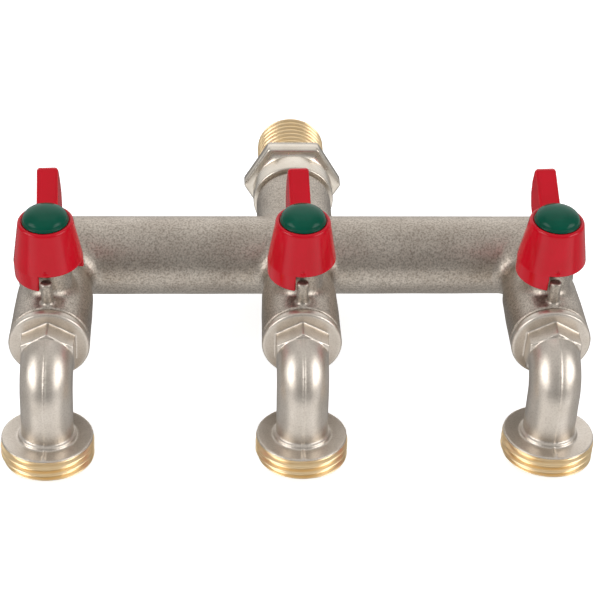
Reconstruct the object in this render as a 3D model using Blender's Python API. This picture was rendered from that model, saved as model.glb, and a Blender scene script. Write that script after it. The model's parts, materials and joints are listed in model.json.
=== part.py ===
"""Three-outlet brass hose splitter: one cast manifold, three ball-valve taps and a threaded inlet.

Dimensions are in millimetres and MM turns them into metres where vertices are made.
The frame: origin at the centre of the inlet's mouth, +X along the header, +Y out of the
inlet, +Z up along the valve stems. Heights are measured from the header's axis, and depths
from it too, so DEPTH moves them all back by the distance from the header to the mouth.
"""

import math

import bmesh
import bpy
from mathutils import Matrix, Vector

MM = 0.001
GAP = 0.3  # clearance between pieces that touch on the real object
SIDES = {"left": -1, "middle": 0, "right": 1}
COARSE, MEDIUM, FINE = 12, 16, 24  # facets round small, middling and large turned pieces

# Header and inlet neck
HEADER_R = 12.1
HEADER_HALF_LENGTH = 84.6
HEADER_BORE_R = 9.2
PLUG_SEAT_R = 10.2
PLUG_SEAT_DEPTH = 8.0
NECK_R = 12.0
NECK_END = 28.3
NECK_BORE_R = 7.0
NECK_THREAD_R = 9.2
NECK_THREAD_DEPTH = 10.5

# Inlet nipple
INLET_COLLAR_R = 13.0
INLET_COLLAR_START = 29.3
INLET_COLLAR_END = 36.3
INLET_GROOVE_R = 11.8
INLET_HEX_START = 38.3
INLET_HEX_END = 43.3
INLET_HEX_AF = 27.8
INLET_THREAD_R = 11.1
INLET_MOUTH = 62.5
INLET_BORE_R = 7.3
THREAD_PITCH = 2.209  # 11.5 turns to the inch
THREAD_DEPTH = 1.2

# Taps
TAP_PITCH = 73.0
STEM_DEPTH = -28.0
BARREL_START = -4.0
BARREL_FRONT = -40.6
BARREL_PROFILE = ((9.2, -4.0), (9.5, -12.5), (10.5, -17.0), (11.25, -21.0), (11.65, -39.9))
BARREL_EDGE_R = 11.2
CHAMBER_R = 8.6
CHAMBER_BACK = -20.3
PORT_R = 5.0
TOWER_R = 6.5
TOWER_TOP = 23.2
STEM_POCKET_R = 4.7
STEM_POCKET_TOP = 11.0
STEM_BORE_R = 3.45
PIN_R = 1.7
PIN_DEPTH = -37.6
PIN_TOP = 18.5

# Ball, seats and stem, with heights and depths counted from the ball's centre
BALL_R = 7.5
SLOT_HALF_WIDTH = 1.6
SLOT_FLOOR = 5.6
SEAT_PROFILE = ((5.2, 5.9), (6.95, 3.6), (8.3, 3.6), (8.3, 7.4), (5.2, 7.4))
TANG_HALF_WIDTH = 1.3
TANG_HALF_LENGTH = 3.2
TANG_BOTTOM = 5.9
FLANGE_R = 4.3
FLANGE_BOTTOM = 8.3
FLANGE_TOP = 9.8
WASHER_R = 4.4
WASHER_BOTTOM = 10.0
WASHER_TOP = 10.75
STEM_R = 3.2
STEM_SHOULDER = 23.3
STEM_SQUARE_HALF = 2.2
STEM_TOP = 29.3
STEM_GROOVE_R = 2.1
STEM_GROOVE_HALF = 0.8
STEM_GROOVES = {"lower": 14.0, "upper": 18.4}
STEM_RING_MAJOR = 2.8
STEM_RING_MINOR = 0.5
SCREW_HOLE_R = 1.6
SCREW_HOLE_BOTTOM = 21.0

# Outlet elbow
TAIL_R = 8.3
TAIL_END = -35.9
TAIL_GROOVE_R = 7.0
TAIL_GROOVE_CENTRE = -38.9
TAIL_RING_MAJOR = 7.75
TAIL_RING_MINOR = 0.55
COLLAR_R = 11.65
COLLAR_END = -43.6
ELBOW_HEX_AF = 15.1
ELBOW_HEX_END = -49.1
ELBOW_R = 7.5
BEND_R = 9.6
BEND_STEPS = 6
BASE_R = 8.3
OUTLET_DEPTH = -57.3
OUTLET_HEIGHT = -21.8
OUTLET_LEAN_DEG = 7.0  # the outlets point forward of straight down by this much
ELBOW_SWING_DEG = {"left": 2.0, "middle": 0.0, "right": 1.0}  # how far each was screwed past upright

# Outlet disc, with heights counted from its upper face along the outlet's own axis
DISC_FACE_R = 13.2
OUTLET_THREAD_R = 13.45
OUTLET_END = -7.2
OUTLET_SOCKET_R = 9.4
OUTLET_SOCKET_TOP = -2.4

# Handle, screw and cap
RIM_TOP = 33.6
RIM_R = 7.8
RECESS_R = 6.3
WEB_TOP = 29.6
WEB_BOTTOM = 23.6
SKIRT_R = 10.0
SKIRT_INNER_R = 8.05
SHORT_SKIRT_BOTTOM = 20.3
LONG_SKIRT_BOTTOM = 15.2
STOP_CLEARANCE = 2.05  # from the stem's centre plane to the faces that meet the stop pin
SOCKET_HALF = 2.42
LEVER_TOP_HALF = 2.97
LEVER_TURN_DEG = 2.3  # how far the lever stands off straight back when the tap is open
LEVER_DRAFT = 0.081
LEVER_SLOPE = 0.57
LEVER_PROFILE = (
    (6.9, 31.5), (8.4, 32.4), (18.8, 38.3), (19.9, 38.0), (20.6, 37.0),
    (20.6, 33.6), (19.4, 29.9), (16.8, 26.7), (13.2, 24.6), (9.5, 23.9), (6.9, 24.0),
)
SCREW_R = 1.45
SCREW_HEAD_R = 3.6
SCREW_HEAD_BOTTOM = 29.9
SCREW_HEAD_TOP = 31.7
RECESS_AF = 2.5
CAP_R = 6.0
CAP_RING_R = 5.1
CAP_RING_BOTTOM = 30.4
CAP_FLOOR = 32.1
CAP_EDGE = 33.7
CAP_DOME_TOP = 36.9
CAP_DOME_POWER = 2.4  # 2 would be an ellipse, and more is flatter on top

ALONG_X = Matrix.Rotation(math.radians(90), 4, "Y")
ALONG_Y = Matrix.Rotation(math.radians(-90), 4, "X")
UPRIGHT = Matrix.Identity(4)


def clear_scene():
    for obj in list(bpy.data.objects):
        bpy.data.objects.remove(obj, do_unlink=True)


def make_material(name, colour, roughness, metallic):
    material = bpy.data.materials.new(name)
    material.use_nodes = True
    surface = material.node_tree.nodes["Principled BSDF"]
    surface.inputs["Base Color"].default_value = (*colour, 1.0)
    surface.inputs["Roughness"].default_value = roughness
    surface.inputs["Metallic"].default_value = metallic
    return material


# ---------------------------------------------------------------- mesh builders


def object_from(mesh_data, name, material=None, turn=UPRIGHT, place=(0, 0, 0), parent=None):
    """Make an object of a bmesh in millimetres, turned about its own origin and placed."""
    bmesh.ops.recalc_face_normals(mesh_data, faces=mesh_data.faces)
    mesh_data.transform(Matrix.Scale(MM, 4) @ turn)
    mesh = bpy.data.meshes.new(name)
    mesh_data.to_mesh(mesh)
    mesh_data.free()
    mesh.shade_smooth()
    mesh.set_sharp_from_angle(angle=math.radians(35))
    obj = bpy.data.objects.new(name, mesh)
    bpy.context.scene.collection.objects.link(obj)
    obj.parent = parent
    obj.location = Vector(place) * MM
    if material:
        mesh.materials.append(material)
    return obj


def turned(profile, segments):
    """Solid of revolution about Z of a closed outline of (radius, height) points."""
    mesh = bmesh.new()
    rings = []
    for radius, height in profile:
        if radius == 0:
            rings.append([mesh.verts.new((0, 0, height))] * segments)
            continue
        angles = [2 * math.pi * i / segments for i in range(segments)]
        rings.append([mesh.verts.new((radius * math.cos(a), radius * math.sin(a), height)) for a in angles])
    for ring, following in zip(rings, rings[1:] + rings[:1]):
        for i in range(segments):
            j = (i + 1) % segments
            corners = list(dict.fromkeys((ring[i], ring[j], following[j], following[i])))
            if len(corners) > 2:
                mesh.faces.new(corners)
    return mesh


def swept(path, radius, segments):
    """Round bar along a list of (depth, height) points, with a flat end at each end."""
    mesh = bmesh.new()
    points = [Vector((0, depth, height)) for depth, height in path]
    rings = []
    for i, point in enumerate(points):
        heading = (points[min(i + 1, len(points) - 1)] - points[max(i - 1, 0)]).normalized()
        side = Vector((1, 0, 0))
        up = heading.cross(side)
        angles = [2 * math.pi * k / segments for k in range(segments)]
        rings.append([mesh.verts.new(point + radius * (math.cos(a) * side + math.sin(a) * up)) for a in angles])
    for ring, following in zip(rings, rings[1:]):
        for i in range(segments):
            j = (i + 1) % segments
            mesh.faces.new((ring[i], ring[j], following[j], following[i]))
    mesh.faces.new(rings[0])
    mesh.faces.new(rings[-1])
    return mesh


def box(low, high):
    mesh = bmesh.new()
    bmesh.ops.create_cube(mesh, size=1.0)
    size = Vector(high) - Vector(low)
    centre = (Vector(high) + Vector(low)) / 2
    mesh.transform(Matrix.Translation(centre) @ Matrix.Diagonal((*size, 1.0)))
    return mesh


def hex_prism(across_flats, low, high, turn_deg=0.0):
    """Hexagonal prism about Z, with a corner on +X before turn_deg is applied."""
    corner = across_flats / math.sqrt(3)
    mesh = turned(((0, low), (corner, low), (corner, high), (0, high)), 6)
    mesh.transform(Matrix.Rotation(math.radians(turn_deg), 4, "Z"))
    return mesh


def ring_of(major, minor, height, segments):
    sides = 6
    angles = [2 * math.pi * i / sides for i in range(sides)]
    return turned([(major + minor * math.cos(a), height + minor * math.sin(a)) for a in angles], segments)


def thread_outline(radius, first, last):
    """Outline points of V-shaped ridges from height first up to height last."""
    turns = int((last - first) / THREAD_PITCH)
    points = []
    for i in range(turns):
        foot = first + i * THREAD_PITCH
        points += [(radius - THREAD_DEPTH, foot), (radius, foot + THREAD_PITCH / 2)]
    points.append((radius - THREAD_DEPTH, first + turns * THREAD_PITCH))
    return points


def shape(obj, helpers, operation):
    """Cut the helpers from the object or join them on, and keep them out of the model."""
    group = bpy.data.collections.new(f"{obj.name}_{operation.lower()}")
    bpy.context.scene.collection.children.link(group)
    for helper in helpers:
        bpy.context.scene.collection.objects.unlink(helper)
        group.objects.link(helper)
        helper.hide_render = True
        helper.display_type = "WIRE"
    modifier = obj.modifiers.new(operation.lower(), "BOOLEAN")
    modifier.operation = operation
    modifier.solver = "EXACT"
    modifier.operand_type = "COLLECTION"
    modifier.collection = group


# ---------------------------------------------------------------- fixed pieces


def make_manifold(nickel):
    """The single casting: header, inlet neck, three valve barrels, stem towers and stop pins."""
    half = HEADER_HALF_LENGTH
    body = object_from(
        turned(((0, -half), (HEADER_R, -half), (HEADER_R, half), (0, half)), FINE),
        "manifold_body", nickel, ALONG_X, (0, DEPTH, 0),
    )
    neck = ((0, 0), (NECK_R, 0), (NECK_R, NECK_END - 0.4), (NECK_R - 0.4, NECK_END), (0, NECK_END))
    added = [object_from(turned(neck, FINE), "add_neck", None, ALONG_Y, (0, DEPTH, 0))]
    barrel = [(0, BARREL_START), *BARREL_PROFILE, (BARREL_EDGE_R, BARREL_FRONT), (0, BARREL_FRONT)]
    tower = ((0, 4), (TOWER_R, 4), (TOWER_R, TOWER_TOP - 0.5), (TOWER_R - 0.5, TOWER_TOP), (0, TOWER_TOP))
    pin = ((0, 9), (PIN_R, 9), (PIN_R, PIN_TOP - 0.3), (PIN_R - 0.3, PIN_TOP), (0, PIN_TOP))
    for side, step in SIDES.items():
        x = step * TAP_PITCH
        added += [
            object_from(turned(barrel, FINE), f"add_{side}_barrel", None, ALONG_Y, (x, DEPTH, 0)),
            object_from(turned(tower, MEDIUM), f"add_{side}_tower", None, UPRIGHT, (x, DEPTH + STEM_DEPTH, 0)),
            object_from(turned(pin, COARSE), f"add_{side}_pin", None, UPRIGHT, (x, DEPTH + PIN_DEPTH, 0)),
        ]
    shape(body, added, "UNION")
    shape(body, manifold_waterways(), "DIFFERENCE")


def manifold_waterways():
    """Cutters for the header's bore, the inlet's thread, the ball chambers and the stem bores."""
    half = HEADER_HALF_LENGTH
    seat = half - PLUG_SEAT_DEPTH
    header = (
        (0, -half - 1), (PLUG_SEAT_R, -half - 1), (PLUG_SEAT_R, -seat), (HEADER_BORE_R, -seat),
        (HEADER_BORE_R, seat), (PLUG_SEAT_R, seat), (PLUG_SEAT_R, half + 1), (0, half + 1),
    )
    inlet = (
        (0, 0), (NECK_BORE_R, 0), (NECK_BORE_R, NECK_END - NECK_THREAD_DEPTH),
        (NECK_THREAD_R, NECK_END - NECK_THREAD_DEPTH), (NECK_THREAD_R, NECK_END + 1), (0, NECK_END + 1),
    )
    chamber = (
        (0, -3), (PORT_R, -3), (PORT_R, CHAMBER_BACK), (CHAMBER_R, CHAMBER_BACK),
        (CHAMBER_R, BARREL_FRONT - 1), (0, BARREL_FRONT - 1),
    )
    stem = (
        (0, 0), (STEM_POCKET_R, 0), (STEM_POCKET_R, STEM_POCKET_TOP), (STEM_BORE_R, STEM_POCKET_TOP),
        (STEM_BORE_R, TOWER_TOP + 1), (0, TOWER_TOP + 1),
    )
    cutters = [
        object_from(turned(header, MEDIUM), "cut_header_bore", None, ALONG_X, (0, DEPTH, 0)),
        object_from(turned(inlet, MEDIUM), "cut_inlet_bore", None, ALONG_Y, (0, DEPTH, 0)),
    ]
    for side, step in SIDES.items():
        x = step * TAP_PITCH
        cutters.append(object_from(turned(chamber, MEDIUM), f"cut_{side}_chamber", None, ALONG_Y, (x, DEPTH, 0)))
        place = (x, DEPTH + STEM_DEPTH, 0)
        cutters.append(object_from(turned(stem, COARSE), f"cut_{side}_stem_bore", None, UPRIGHT, place))
    return cutters


def make_end_plugs(nickel):
    """Screwed plugs that close the header's bore, each with a hexagonal key socket."""
    radius = PLUG_SEAT_R - GAP
    inner = HEADER_HALF_LENGTH - PLUG_SEAT_DEPTH + GAP
    outer = HEADER_HALF_LENGTH
    outline = ((0, inner), (radius, inner), (radius, outer - 0.6), (radius - 0.6, outer), (0, outer))
    for side, turn in (("left", Matrix.Rotation(math.radians(-90), 4, "Y")), ("right", ALONG_X)):
        plug = object_from(turned(outline, MEDIUM), f"{side}_end_plug", nickel, turn, (0, DEPTH, 0))
        socket = hex_prism(8.0, outer - 4.0, outer + 1.0)
        shape(plug, [object_from(socket, f"cut_{side}_key_socket", None, turn, (0, DEPTH, 0))], "DIFFERENCE")


def make_inlet(nickel, rubber):
    """Inlet nipple: tail in the neck, round collar, spanner hexagon and male thread."""
    thread_start = INLET_HEX_END + 1.4
    start = INLET_COLLAR_START
    outline = [
        (INLET_BORE_R, NECK_END - NECK_THREAD_DEPTH + GAP),
        (NECK_THREAD_R - GAP, NECK_END - NECK_THREAD_DEPTH + GAP),
        (NECK_THREAD_R - GAP, start), (INLET_COLLAR_R - 0.6, start), (INLET_COLLAR_R, start + 0.6),
        (INLET_COLLAR_R, INLET_COLLAR_END - 0.4), (INLET_COLLAR_R - 0.4, INLET_COLLAR_END),
        (INLET_GROOVE_R, INLET_COLLAR_END), (INLET_GROOVE_R, INLET_HEX_START + 1),
        (INLET_THREAD_R - THREAD_DEPTH, INLET_HEX_START + 1),
        *thread_outline(INLET_THREAD_R, thread_start, INLET_MOUTH - 0.6),
        (INLET_THREAD_R - THREAD_DEPTH - 0.3, INLET_MOUTH), (INLET_BORE_R, INLET_MOUTH),
    ]
    nipple = object_from(turned(outline, FINE), "inlet_nipple", nickel, ALONG_Y, (0, DEPTH, 0))
    hexagon = hex_prism(INLET_HEX_AF, INLET_HEX_START, INLET_HEX_END)
    bore_low, bore_high = INLET_HEX_START - 1, INLET_HEX_END + 1
    bore_r = INLET_BORE_R + 1
    bore = turned(((0, bore_low), (bore_r, bore_low), (bore_r, bore_high), (0, bore_high)), FINE)
    ring = object_from(hexagon, "add_inlet_hexagon", None, ALONG_Y, (0, DEPTH, 0))
    shape(ring, [object_from(bore, "cut_inlet_hexagon", None, ALONG_Y, (0, DEPTH, 0))], "DIFFERENCE")
    shape(nipple, [ring], "UNION")
    washer_low, washer_high = NECK_END + 0.15, INLET_COLLAR_START - 0.15
    washer = (
        (NECK_THREAD_R + 0.1, washer_low), (11.2, washer_low),
        (11.2, washer_high), (NECK_THREAD_R + 0.1, washer_high),
    )
    object_from(turned(washer, MEDIUM), "inlet_sealing_washer", rubber, ALONG_Y, (0, DEPTH, 0))


def elbow_path(start, finish):
    """Centre line of the elbow as (depth, height): forward, round the bend and along the outlet's axis."""
    lean = math.radians(OUTLET_LEAN_DEG)
    drop = -OUTLET_HEIGHT - BEND_R * (1 - math.sin(lean))
    bend_start = OUTLET_DEPTH + BEND_R * math.cos(lean) + drop * math.tan(lean)
    path = [(start, 0.0)]
    for i in range(BEND_STEPS + 1):
        angle = math.radians(90 - OUTLET_LEAN_DEG) * i / BEND_STEPS
        path.append((bend_start - BEND_R * math.sin(angle), -BEND_R * (1 - math.cos(angle))))
    path.append((OUTLET_DEPTH + finish * math.sin(lean), OUTLET_HEIGHT + finish * math.cos(lean)))
    return path


def make_elbow(side, x, nickel, rubber):
    """Outlet elbow: tail and collar, spanner hexagon, bend and threaded outlet disc."""
    groove_low, groove_high = TAIL_GROOVE_CENTRE - 0.75, TAIL_GROOVE_CENTRE + 0.75
    collar_back = BARREL_FRONT - GAP
    tail = (
        (0, TAIL_END), (TAIL_R - 0.4, TAIL_END), (TAIL_R, TAIL_END - 0.4),
        (TAIL_R, groove_high), (TAIL_GROOVE_R, groove_high), (TAIL_GROOVE_R, groove_low),
        (TAIL_R, groove_low), (TAIL_R, collar_back), (COLLAR_R - 0.3, collar_back),
        (COLLAR_R, collar_back - 0.5), (COLLAR_R, COLLAR_END + 0.8),
        (COLLAR_R - 0.8, COLLAR_END), (0, COLLAR_END),
    )
    joint = bpy.data.objects.new(f"{side}_elbow_joint", None)
    bpy.context.scene.collection.objects.link(joint)
    joint.location = Vector((x, DEPTH, 0)) * MM
    joint.rotation_euler.y = math.radians(ELBOW_SWING_DEG[side])
    centre = (0, 0, 0)
    elbow = object_from(turned(tail, FINE), f"{side}_outlet_elbow", nickel, ALONG_Y, centre, joint)
    hexagon = hex_prism(ELBOW_HEX_AF, ELBOW_HEX_END, COLLAR_END + 1, 30)
    bend = swept(elbow_path(COLLAR_END + 2, -1), ELBOW_R, MEDIUM)
    ridges = thread_outline(OUTLET_THREAD_R, OUTLET_END + 0.25, -0.3)
    disc = [
        (0, OUTLET_END), (OUTLET_THREAD_R - THREAD_DEPTH - 0.2, OUTLET_END), *ridges,
        (DISC_FACE_R, -0.25), (DISC_FACE_R - 0.3, 0),
        (BASE_R + 0.8, 0), (BASE_R, 0.9), (ELBOW_R - 0.5, 1.8), (0, 1.8),
    ]
    leaning = Matrix.Rotation(math.radians(-OUTLET_LEAN_DEG), 4, "X")
    outlet = (0, OUTLET_DEPTH, OUTLET_HEIGHT)
    added = [
        object_from(hexagon, f"add_{side}_hexagon", None, ALONG_Y, centre, joint),
        object_from(bend, f"add_{side}_bend", None, UPRIGHT, centre, joint),
        object_from(turned(disc, FINE), f"add_{side}_disc", None, leaning, outlet, joint),
    ]
    shape(elbow, added, "UNION")
    bore = swept(elbow_path(TAIL_END + 1, OUTLET_END - 1), PORT_R, COARSE)
    socket = (
        (0, OUTLET_END - 1), (OUTLET_SOCKET_R, OUTLET_END - 1),
        (OUTLET_SOCKET_R, OUTLET_SOCKET_TOP), (0, OUTLET_SOCKET_TOP + 3),
    )
    removed = [
        object_from(bore, f"cut_{side}_bend_bore", None, UPRIGHT, centre, joint),
        object_from(turned(socket, MEDIUM), f"cut_{side}_outlet_socket", None, leaning, outlet, joint),
    ]
    shape(elbow, removed, "DIFFERENCE")
    seal = ring_of(TAIL_RING_MAJOR, TAIL_RING_MINOR, TAIL_GROOVE_CENTRE, MEDIUM)
    object_from(seal, f"{side}_elbow_seal_ring", rubber, ALONG_Y, (x, DEPTH, 0))


# ---------------------------------------------------------------- valve and handle


def make_ball(side, axis, chrome):
    """Floating ball with its bore along Y and a slot across its top for the stem."""
    steps = 8
    arc = [math.radians(-90 + 180 * i / steps) for i in range(steps + 1)]
    outline = [(BALL_R * math.cos(a) if 0 < i < steps else 0, BALL_R * math.sin(a)) for i, a in enumerate(arc)]
    ball = object_from(turned(outline, MEDIUM), f"{side}_ball", chrome, UPRIGHT, (0, 0, 0), axis)
    reach = BALL_R + 1
    bore = turned(((0, -reach), (PORT_R, -reach), (PORT_R, reach), (0, reach)), COARSE)
    slot = box((-reach, -SLOT_HALF_WIDTH, SLOT_FLOOR), (reach, SLOT_HALF_WIDTH, reach))
    removed = [
        object_from(bore, f"cut_{side}_ball_bore", None, ALONG_Y, (0, 0, 0), axis),
        object_from(slot, f"cut_{side}_ball_slot", None, UPRIGHT, (0, 0, 0), axis),
    ]
    shape(ball, removed, "DIFFERENCE")


def make_seats(side, x, ptfe):
    """Two soft seat rings that hold the ball from behind and from in front."""
    place = (x, DEPTH + STEM_DEPTH, 0)
    for name, facing in (("rear", 1), ("front", -1)):
        outline = [(radius, facing * offset) for radius, offset in SEAT_PROFILE]
        object_from(turned(outline, MEDIUM), f"{side}_{name}_ball_seat", ptfe, ALONG_Y, place)


def make_stem(side, axis, brass, rubber, ptfe):
    """Stem: tang, retaining flange, two ring grooves and a square end with a screw hole."""
    outline = [(0, FLANGE_BOTTOM), (FLANGE_R, FLANGE_BOTTOM), (FLANGE_R, FLANGE_TOP), (STEM_R, FLANGE_TOP)]
    for height in STEM_GROOVES.values():
        low, high = height - STEM_GROOVE_HALF, height + STEM_GROOVE_HALF
        outline += [(STEM_R, low), (STEM_GROOVE_R, low), (STEM_GROOVE_R, high), (STEM_R, high)]
    outline += [(STEM_R, STEM_SHOULDER), (0, STEM_SHOULDER)]
    stem = object_from(turned(outline, COARSE), f"{side}_valve_stem", brass, UPRIGHT, (0, 0, 0), axis)
    half = STEM_SQUARE_HALF
    tang = box(
        (-TANG_HALF_LENGTH, -TANG_HALF_WIDTH, TANG_BOTTOM),
        (TANG_HALF_LENGTH, TANG_HALF_WIDTH, FLANGE_BOTTOM + 0.5),
    )
    square = box((-half, -half, STEM_SHOULDER - 0.5), (half, half, STEM_TOP))
    hole = turned(
        ((0, SCREW_HOLE_BOTTOM), (SCREW_HOLE_R, SCREW_HOLE_BOTTOM), (SCREW_HOLE_R, STEM_TOP + 1), (0, STEM_TOP + 1)),
        COARSE,
    )
    added = [
        object_from(tang, f"add_{side}_tang", None, UPRIGHT, (0, 0, 0), axis),
        object_from(square, f"add_{side}_square", None, UPRIGHT, (0, 0, 0), axis),
    ]
    shape(stem, added, "UNION")
    shape(stem, [object_from(hole, f"cut_{side}_screw_hole", None, UPRIGHT, (0, 0, 0), axis)], "DIFFERENCE")
    for name, height in STEM_GROOVES.items():
        ring = ring_of(STEM_RING_MAJOR, STEM_RING_MINOR, height, COARSE)
        object_from(ring, f"{side}_stem_{name}_ring", rubber, UPRIGHT, (0, 0, 0), axis)
    inner = STEM_R + 0.2
    washer = (
        (inner, WASHER_BOTTOM), (WASHER_R, WASHER_BOTTOM), (WASHER_R, WASHER_TOP), (inner, WASHER_TOP),
    )
    object_from(turned(washer, COARSE), f"{side}_stem_washer", ptfe, UPRIGHT, (0, 0, 0), axis)


def lever_mesh():
    """Lever that leaves the hub towards +Y, drafted so that its flanks spread below its top face."""
    mesh = bmesh.new()
    flanks = []
    for sign in (-1, 1):
        flank = []
        for reach, height in LEVER_PROFILE:
            start_reach, start_height = LEVER_PROFILE[0]
            top = start_height + LEVER_SLOPE * (reach - start_reach)
            half = LEVER_TOP_HALF + LEVER_DRAFT * max(top - height, 0)
            flank.append(mesh.verts.new((sign * half, reach, height)))
        mesh.faces.new(flank)
        flanks.append(flank)
    count = len(LEVER_PROFILE)
    for i in range(count):
        j = (i + 1) % count
        mesh.faces.new((flanks[0][i], flanks[0][j], flanks[1][j], flanks[1][i]))
    bmesh.ops.triangulate(mesh, faces=mesh.faces)
    return mesh


def make_handle(side, axis, red, steel, green):
    """Cast handle, its fixing screw and the cap over the screw."""
    hub_outline = (
        (0, WEB_BOTTOM), (SKIRT_INNER_R - 0.8, WEB_BOTTOM), (SKIRT_INNER_R, SHORT_SKIRT_BOTTOM + 0.6),
        (SKIRT_INNER_R, LONG_SKIRT_BOTTOM), (SKIRT_R - 0.3, LONG_SKIRT_BOTTOM), (SKIRT_R, LONG_SKIRT_BOTTOM + 0.4),
        (SKIRT_R, SHORT_SKIRT_BOTTOM + 0.4), (RIM_R, RIM_TOP - 0.5), (RIM_R - 0.4, RIM_TOP),
        (RECESS_R, RIM_TOP), (RECESS_R, WEB_TOP), (0, WEB_TOP),
    )
    handle = object_from(turned(hub_outline, FINE), f"{side}_handle", red, UPRIGHT, (0, 0, 0), axis)
    reach = SKIRT_R + 2
    notch = box((-STOP_CLEARANCE, -reach, LONG_SKIRT_BOTTOM - 1), (reach, STOP_CLEARANCE, SHORT_SKIRT_BOTTOM))
    socket = box((-SOCKET_HALF, -SOCKET_HALF, WEB_BOTTOM - 1), (SOCKET_HALF, SOCKET_HALF, WEB_TOP + 1))
    askew = Matrix.Rotation(math.radians(LEVER_TURN_DEG), 4, "Z")
    shape(handle, [object_from(lever_mesh(), f"add_{side}_lever", None, askew, (0, 0, 0), axis)], "UNION")
    removed = [
        object_from(notch, f"cut_{side}_stop_notch", None, UPRIGHT, (0, 0, 0), axis),
        object_from(socket, f"cut_{side}_socket", None, UPRIGHT, (0, 0, 0), axis),
    ]
    shape(handle, removed, "DIFFERENCE")

    screw_outline = (
        (0, SCREW_HOLE_BOTTOM + 0.6), (SCREW_R, SCREW_HOLE_BOTTOM + 1.2), (SCREW_R, SCREW_HEAD_BOTTOM),
        (SCREW_HEAD_R, SCREW_HEAD_BOTTOM), (SCREW_HEAD_R, SCREW_HEAD_TOP - 0.7),
        (SCREW_HEAD_R - 0.8, SCREW_HEAD_TOP), (0, SCREW_HEAD_TOP),
    )
    screw = object_from(turned(screw_outline, COARSE), f"{side}_handle_screw", steel, UPRIGHT, (0, 0, 0), axis)
    recess = hex_prism(RECESS_AF, SCREW_HEAD_TOP - 0.9, SCREW_HEAD_TOP + 1)
    shape(screw, [object_from(recess, f"cut_{side}_recess", None, UPRIGHT, (0, 0, 0), axis)], "DIFFERENCE")

    dome_steps = 5
    dome = []
    for i in range(dome_steps + 1):
        share = 1 - (1 - i / dome_steps) ** 2
        rise = (1 - (1 - share) ** CAP_DOME_POWER) ** (1 / CAP_DOME_POWER)
        dome.append((CAP_R * (1 - share), CAP_EDGE + (CAP_DOME_TOP - CAP_EDGE) * rise))
    cap_outline = [
        (0, CAP_FLOOR), (CAP_RING_R, CAP_FLOOR), (CAP_RING_R, CAP_RING_BOTTOM), (CAP_R, CAP_RING_BOTTOM), *dome,
    ]
    object_from(turned(cap_outline, MEDIUM), f"{side}_handle_cap", green, UPRIGHT, (0, 0, 0), axis)


def make_tap(side, x, finishes):
    """One tap: its elbow and seats stay with the manifold, the rest turns on the stem's axis."""
    axis = bpy.data.objects.new(f"{side}_stem_axis", None)
    bpy.context.scene.collection.objects.link(axis)
    axis.location = Vector((x, DEPTH + STEM_DEPTH, 0)) * MM
    make_elbow(side, x, finishes["nickel"], finishes["rubber"])
    make_seats(side, x, finishes["ptfe"])
    make_ball(side, axis, finishes["chrome"])
    make_stem(side, axis, finishes["brass"], finishes["rubber"], finishes["ptfe"])
    make_handle(side, axis, finishes["red"], finishes["steel"], finishes["green"])


DEPTH = -INLET_MOUTH  # where the header's axis lies, seen from the inlet's mouth


def main():
    clear_scene()
    finishes = {
        "nickel": make_material("nickel_plated_brass", (0.62, 0.57, 0.51), 0.35, 1.0),
        "brass": make_material("bare_brass", (0.80, 0.60, 0.30), 0.30, 1.0),
        "chrome": make_material("chromed_brass", (0.80, 0.80, 0.80), 0.08, 1.0),
        "steel": make_material("zinc_plated_steel", (0.65, 0.66, 0.68), 0.30, 1.0),
        "ptfe": make_material("white_ptfe", (0.88, 0.88, 0.86), 0.50, 0.0),
        "rubber": make_material("black_rubber", (0.02, 0.02, 0.02), 0.70, 0.0),
        "red": make_material("red_enamel", (0.60, 0.01, 0.04), 0.20, 0.0),
        "green": make_material("green_plastic", (0.01, 0.16, 0.10), 0.25, 0.0),
    }
    make_manifold(finishes["nickel"])
    make_end_plugs(finishes["nickel"])
    make_inlet(finishes["nickel"], finishes["rubber"])
    for side, step in SIDES.items():
        make_tap(side, step * TAP_PITCH, finishes)


main()
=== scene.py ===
import json
import math

import bpy
import numpy as np
from mathutils import Matrix, Vector


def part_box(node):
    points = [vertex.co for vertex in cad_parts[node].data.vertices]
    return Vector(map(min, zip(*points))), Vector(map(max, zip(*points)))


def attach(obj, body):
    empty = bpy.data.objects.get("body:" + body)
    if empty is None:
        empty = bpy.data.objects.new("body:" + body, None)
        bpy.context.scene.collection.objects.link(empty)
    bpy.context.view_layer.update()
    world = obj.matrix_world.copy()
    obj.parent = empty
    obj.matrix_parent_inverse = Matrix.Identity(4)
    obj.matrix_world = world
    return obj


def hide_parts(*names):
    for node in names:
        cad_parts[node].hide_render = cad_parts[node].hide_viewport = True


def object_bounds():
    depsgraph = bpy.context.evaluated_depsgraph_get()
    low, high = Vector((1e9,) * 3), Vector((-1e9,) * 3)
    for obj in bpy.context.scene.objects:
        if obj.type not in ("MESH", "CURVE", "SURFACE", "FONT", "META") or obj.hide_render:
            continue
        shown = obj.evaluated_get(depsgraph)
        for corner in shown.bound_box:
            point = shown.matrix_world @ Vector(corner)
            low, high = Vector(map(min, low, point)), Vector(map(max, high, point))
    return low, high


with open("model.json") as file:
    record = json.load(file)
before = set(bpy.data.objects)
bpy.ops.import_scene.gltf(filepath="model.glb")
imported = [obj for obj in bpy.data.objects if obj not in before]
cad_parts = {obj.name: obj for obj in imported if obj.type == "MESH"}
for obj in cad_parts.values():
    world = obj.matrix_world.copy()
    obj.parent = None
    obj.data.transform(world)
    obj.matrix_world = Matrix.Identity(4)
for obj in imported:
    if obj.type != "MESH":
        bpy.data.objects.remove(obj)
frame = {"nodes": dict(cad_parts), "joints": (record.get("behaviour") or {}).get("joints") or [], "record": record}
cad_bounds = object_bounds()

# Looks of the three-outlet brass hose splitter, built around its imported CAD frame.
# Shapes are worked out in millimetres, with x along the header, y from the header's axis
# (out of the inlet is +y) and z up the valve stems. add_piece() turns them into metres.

MM = 0.001
GAP = 0.3  # clearance that a screwed-in piece keeps all round
SIDES = ("left", "middle", "right")


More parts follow.
